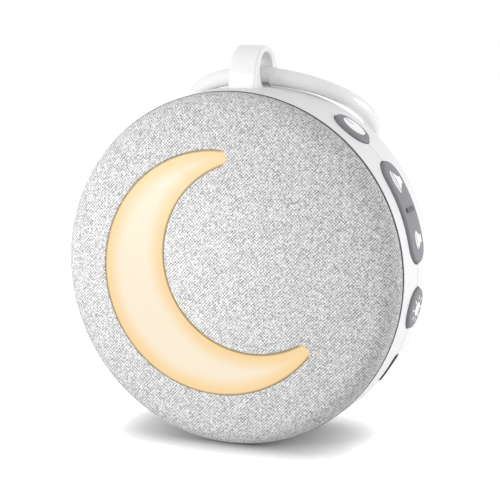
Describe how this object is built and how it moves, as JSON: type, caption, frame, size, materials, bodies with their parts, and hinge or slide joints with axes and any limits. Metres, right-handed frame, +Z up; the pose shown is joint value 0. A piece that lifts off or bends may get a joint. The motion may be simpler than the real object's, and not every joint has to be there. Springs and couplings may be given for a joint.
{
  "type": "white noise sound machine",
  "caption": "Round portable sound machine with a grey cloth front, a glowing crescent night light, rubber buttons on the rim and a hanging ring",
  "frame": {"origin": "on the flat face of the rubber foot that the machine stands on, in the plane where its two shells meet", "axes": "+X to the right seen from the cloth front, +Y to the back along the puck's axis, +Z up towards the hanging ring"},
  "size_m": [0.1007, 0.0754, 0.1107],
  "materials": {
    "white_body": "satin white moulded ABS",
    "white_eye": "smooth white moulded plastic",
    "white_ring": "polished white plastic",
    "grey_cloth": "heathered light grey woven speaker cloth",
    "grille_plastic": "plain moulded grey ABS",
    "milky_lens": "translucent milky diffuser",
    "circuit_board": "green solder mask on fibreglass",
    "screw_steel": "zinc plated steel",
    "lamp_epoxy": "warm white light emitting diodes",
    "black_foam": "closed cell foam",
    "speaker_steel": "pressed steel",
    "ferrite": "dark sintered ferrite",
    "black_rubber": "soft butyl rubber",
    "paper_cone": "pressed paper pulp",
    "copper_coil": "enamelled copper wire",
    "chip_resin": "black moulded epoxy",
    "capacitor_can": "plain aluminium can",
    "port_metal": "nickel plated steel",
    "battery_wrap": "shrink wrap film",
    "grey_rubber": "soft matt grey silicone",
    "inner_plastic": "plain moulded ABS",
    "pin_steel": "ground steel wire",
    "foot_rubber": "soft pale silicone"
  },
  "bodies": {
    "puck": {"front_shell": "white_body", "rear_shell": "white_body", "fabric_cover": "grey_cloth", "grille_panel": "grille_plastic", "night_light_lens": "milky_lens", "light_board": "circuit_board", "light_board_screws": "screw_steel", "night_light_lamps": "lamp_epoxy", "speaker_gasket": "black_foam", "speaker_screws": "screw_steel", "speaker_basket": "speaker_steel", "speaker_front_plate": "speaker_steel", "speaker_magnet": "ferrite", "speaker_yoke": "speaker_steel", "speaker_surround": "black_rubber", "main_board": "circuit_board", "sound_chip": "chip_resin", "amplifier_chip": "chip_resin", "capacitors": "capacitor_can", "tact_switches": "chip_resin", "charging_port": "port_metal", "battery": "battery_wrap", "battery_tape": "black_foam", "case_screws": "screw_steel", "rocker_bracket": "inner_plastic", "rocker_pin": "pin_steel", "hanger_eye": "white_eye", "foot_pad": "foot_rubber"},
    "power_button": {"power_button": "grey_rubber"},
    "light_button": {"light_button": "grey_rubber"},
    "volume_rocker": {"volume_rocker": "grey_rubber"},
    "ring": {"hanging_ring": "white_ring", "ring_pin": "white_ring"},
    "speaker_cone": {"speaker_cone": "paper_cone", "voice_coil": "copper_coil", "speaker_dust_cap": "paper_cone"}
  },
  "joints": [
    {"name": "power_press", "type": "slide", "parent": "puck", "child": "power_button", "axis": [-0.6156, 0, -0.788], "range_m": [0, 0.0005], "stiffness_N_per_m": 1200},
    {"name": "light_press", "type": "slide", "parent": "puck", "child": "light_button", "axis": [-0.9836, 0, 0.1806], "range_m": [0, 0.0005], "stiffness_N_per_m": 1200},
    {"name": "volume_tilt", "type": "hinge", "parent": "puck", "child": "volume_rocker", "pos_m": [0.0405, 0, 0.06507], "axis": [0, 1, 0], "range_deg": [-1.5, 1.5], "stiffness_Nm_per_rad": 0.4},
    {"name": "ring_swing", "type": "hinge", "parent": "puck", "child": "ring", "pos_m": [0, 0.0066, 0.1024], "axis": [1, 0, 0], "range_deg": [0, 230]},
    {"name": "cone_travel", "type": "slide", "parent": "puck", "child": "speaker_cone", "axis": [0, 1, 0], "range_m": [-0.0005, 0.0005], "stiffness_N_per_m": 900}
  ]
}
